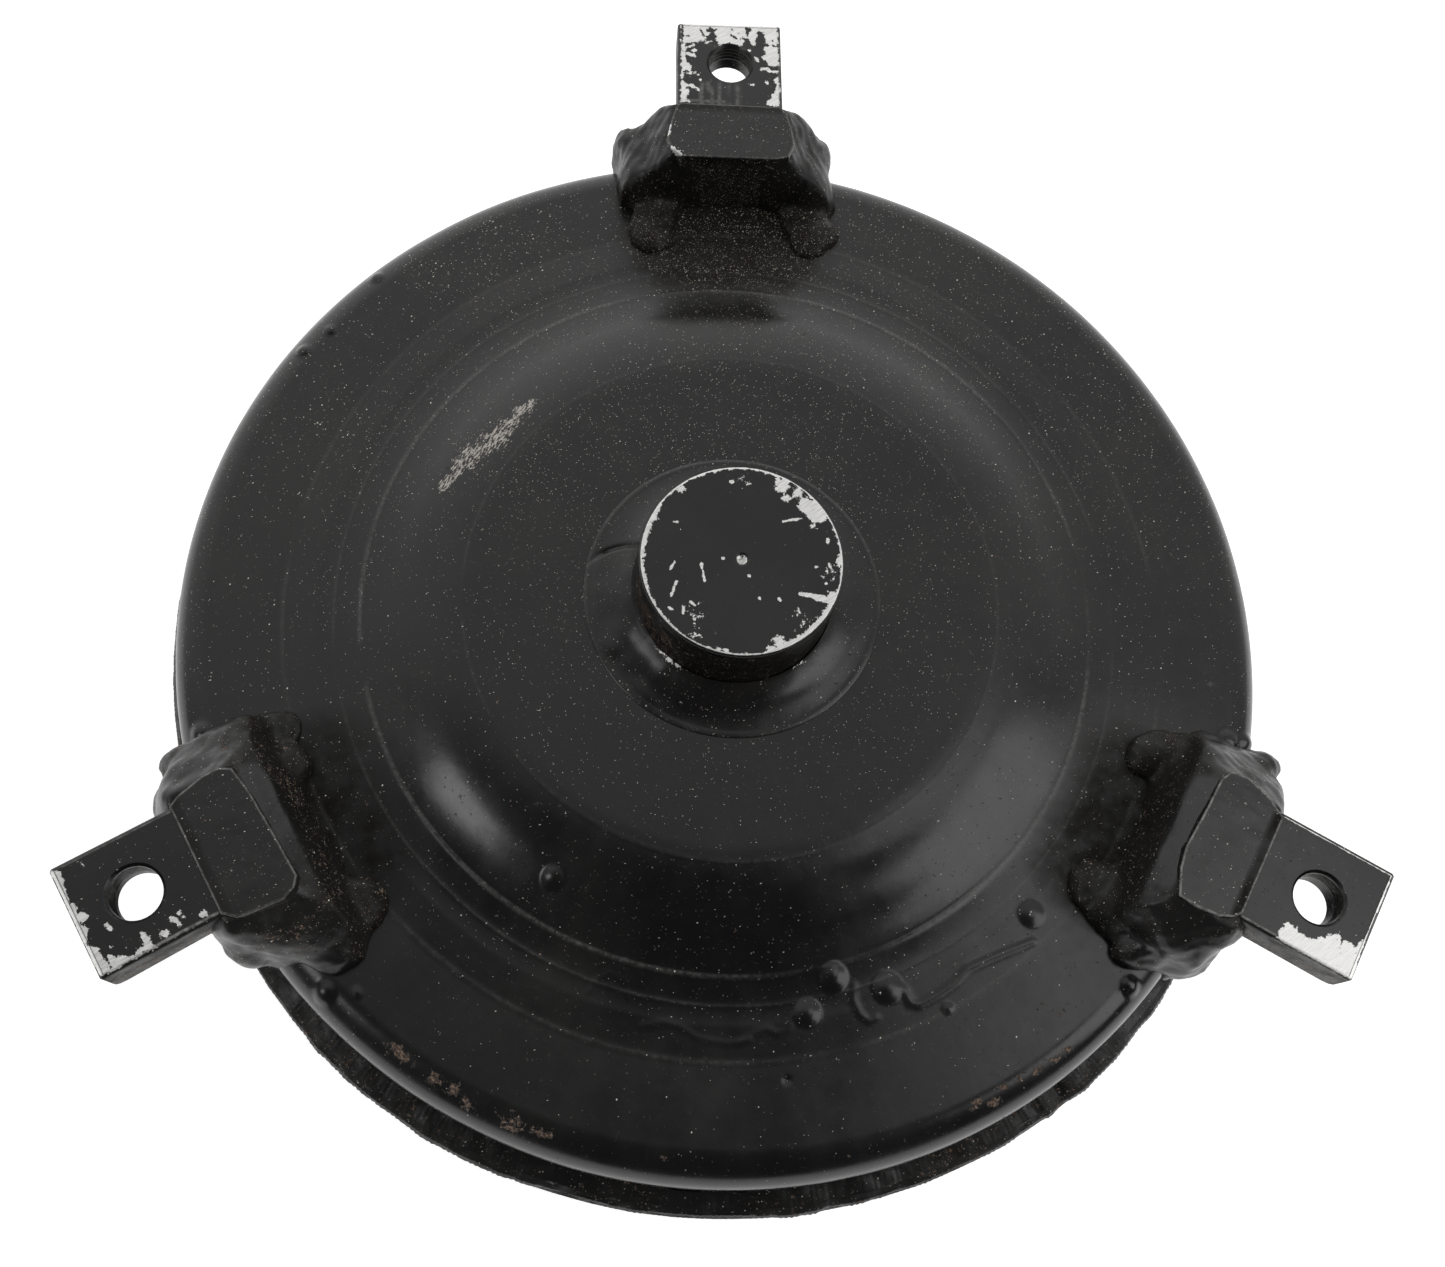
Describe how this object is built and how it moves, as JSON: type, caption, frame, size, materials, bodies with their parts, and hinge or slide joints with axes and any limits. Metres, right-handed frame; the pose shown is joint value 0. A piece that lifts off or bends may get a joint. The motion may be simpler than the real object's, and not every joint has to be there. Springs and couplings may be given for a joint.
{
  "type": "torque converter",
  "caption": "Welded black-painted torque converter: dished cover with a crankshaft pilot and three welded mounting lugs, a vaned impeller, turbine and stator inside, and a slotted pump hub.",
  "frame": {"origin": "centre of the end face of the crankshaft pilot", "axes": "+Z along the rotation axis, out of the pilot towards the engine; +Y towards the first mounting lug"},
  "size_m": [0.2684, 0.2782, 0.141],
  "materials": {
    "black_paint": "semi-gloss black paint, dusty, chipped to bare steel at edges",
    "weld_paint": "semi-gloss black paint over rippled weld metal",
    "pressed_steel": "bare pressed sheet steel",
    "machined_steel": "turned steel",
    "hardened_steel": "ground hardened steel",
    "spring_steel": "blued spring steel",
    "cast_aluminium": "cast aluminium",
    "bronze": "plain bearing bronze",
    "brazed_steel": "copper-brazed sheet steel"
  },
  "bodies": {
    "housing": {"front_cover": "black_paint", "pilot_hub": "black_paint", "pilot_weld": "weld_paint", "mounting_lug_1": "black_paint", "mounting_lug_2": "black_paint", "mounting_lug_3": "black_paint", "lug_weld_1": "weld_paint", "lug_weld_2": "weld_paint", "lug_weld_3": "weld_paint", "closure_weld": "weld_paint", "impeller_shell": "black_paint", "impeller_vane_wheel": "brazed_steel", "impeller_hub": "machined_steel", "hub_weld": "weld_paint", "rear_bearing_rear_race": "hardened_steel"},
    "stator_race": {"clutch_inner_race": "hardened_steel", "front_bearing_rear_race": "hardened_steel", "rear_bearing_front_race": "hardened_steel"},
    "stator": {"stator_wheel": "cast_aluminium", "clutch_cam": "hardened_steel", "clutch_front_plate": "bronze", "clutch_rear_plate": "bronze", "snap_ring": "spring_steel", "clutch_spring_1": "spring_steel", "clutch_spring_2": "spring_steel", "clutch_spring_3": "spring_steel", "clutch_spring_4": "spring_steel", "clutch_spring_5": "spring_steel", "clutch_spring_6": "spring_steel", "clutch_spring_7": "spring_steel", "clutch_spring_8": "spring_steel"},
    "turbine": {"turbine_shell": "pressed_steel", "turbine_vane_wheel": "brazed_steel", "turbine_hub": "machined_steel", "turbine_rivet_1": "machined_steel", "turbine_rivet_2": "machined_steel", "turbine_rivet_3": "machined_steel", "turbine_rivet_4": "machined_steel", "turbine_rivet_5": "machined_steel", "turbine_rivet_6": "machined_steel", "front_thrust_washer": "bronze", "front_bearing_front_race": "hardened_steel"},
    "front_needle_cage": {"front_bearing_needle_cage": "spring_steel"},
    "rear_needle_cage": {"rear_bearing_needle_cage": "spring_steel"},
    "roller_1": {"clutch_roller_1": "hardened_steel"},
    "roller_2": {"clutch_roller_2": "hardened_steel"},
    "roller_3": {"clutch_roller_3": "hardened_steel"},
    "roller_4": {"clutch_roller_4": "hardened_steel"},
    "roller_5": {"clutch_roller_5": "hardened_steel"},
    "roller_6": {"clutch_roller_6": "hardened_steel"},
    "roller_7": {"clutch_roller_7": "hardened_steel"},
    "roller_8": {"clutch_roller_8": "hardened_steel"}
  },
  "joints": [
    {"name": "race_spin", "type": "hinge", "parent": "housing", "child": "stator_race", "pos_m": [0, 0, -0.0643], "axis": [0, 0, 1], "continuous": true},
    {"name": "stator_freewheel", "type": "hinge", "parent": "stator_race", "child": "stator", "pos_m": [0, 0, -0.0643], "axis": [0, 0, 1], "continuous": true},
    {"name": "turbine_spin", "type": "hinge", "parent": "stator_race", "child": "turbine", "pos_m": [0, 0, -0.0413], "axis": [0, 0, 1], "continuous": true},
    {"name": "front_cage_spin", "type": "hinge", "parent": "stator_race", "child": "front_needle_cage", "pos_m": [0, 0, -0.0532], "axis": [0, 0, 1], "continuous": true},
    {"name": "rear_cage_spin", "type": "hinge", "parent": "housing", "child": "rear_needle_cage", "pos_m": [0, 0, -0.0752], "axis": [0, 0, 1], "continuous": true},
    {"name": "roller_1_spin", "type": "hinge", "parent": "stator", "child": "roller_1", "pos_m": [0.0352, 0, -0.0643], "axis": [0, 0, 1], "continuous": true},
    {"name": "roller_2_spin", "type": "hinge", "parent": "stator", "child": "roller_2", "pos_m": [0.02489, 0.02489, -0.0643], "axis": [0, 0, 1], "continuous": true},
    {"name": "roller_3_spin", "type": "hinge", "parent": "stator", "child": "roller_3", "pos_m": [0, 0.0352, -0.0643], "axis": [0, 0, 1], "continuous": true},
    {"name": "roller_4_spin", "type": "hinge", "parent": "stator", "child": "roller_4", "pos_m": [-0.02489, 0.02489, -0.0643], "axis": [0, 0, 1], "continuous": true},
    {"name": "roller_5_spin", "type": "hinge", "parent": "stator", "child": "roller_5", "pos_m": [-0.0352, 0, -0.0643], "axis": [0, 0, 1], "continuous": true},
    {"name": "roller_6_spin", "type": "hinge", "parent": "stator", "child": "roller_6", "pos_m": [-0.02489, -0.02489, -0.0643], "axis": [0, 0, 1], "continuous": true},
    {"name": "roller_7_spin", "type": "hinge", "parent": "stator", "child": "roller_7", "pos_m": [0, -0.0352, -0.0643], "axis": [0, 0, 1], "continuous": true},
    {"name": "roller_8_spin", "type": "hinge", "parent": "stator", "child": "roller_8", "pos_m": [0.02489, -0.02489, -0.0643], "axis": [0, 0, 1], "continuous": true}
  ],
  "couplings": [
    {"joint": "front_cage_spin", "follows": "turbine_spin", "ratio": 0.5},
    {"joint": "rear_cage_spin", "follows": "race_spin", "ratio": 0.5},
    {"joint": "roller_1_spin", "follows": "stator_freewheel", "ratio": 7.75},
    {"joint": "roller_2_spin", "follows": "stator_freewheel", "ratio": 7.75},
    {"joint": "roller_3_spin", "follows": "stator_freewheel", "ratio": 7.75},
    {"joint": "roller_4_spin", "follows": "stator_freewheel", "ratio": 7.75},
    {"joint": "roller_5_spin", "follows": "stator_freewheel", "ratio": 7.75},
    {"joint": "roller_6_spin", "follows": "stator_freewheel", "ratio": 7.75},
    {"joint": "roller_7_spin", "follows": "stator_freewheel", "ratio": 7.75},
    {"joint": "roller_8_spin", "follows": "stator_freewheel", "ratio": 7.75}
  ]
}
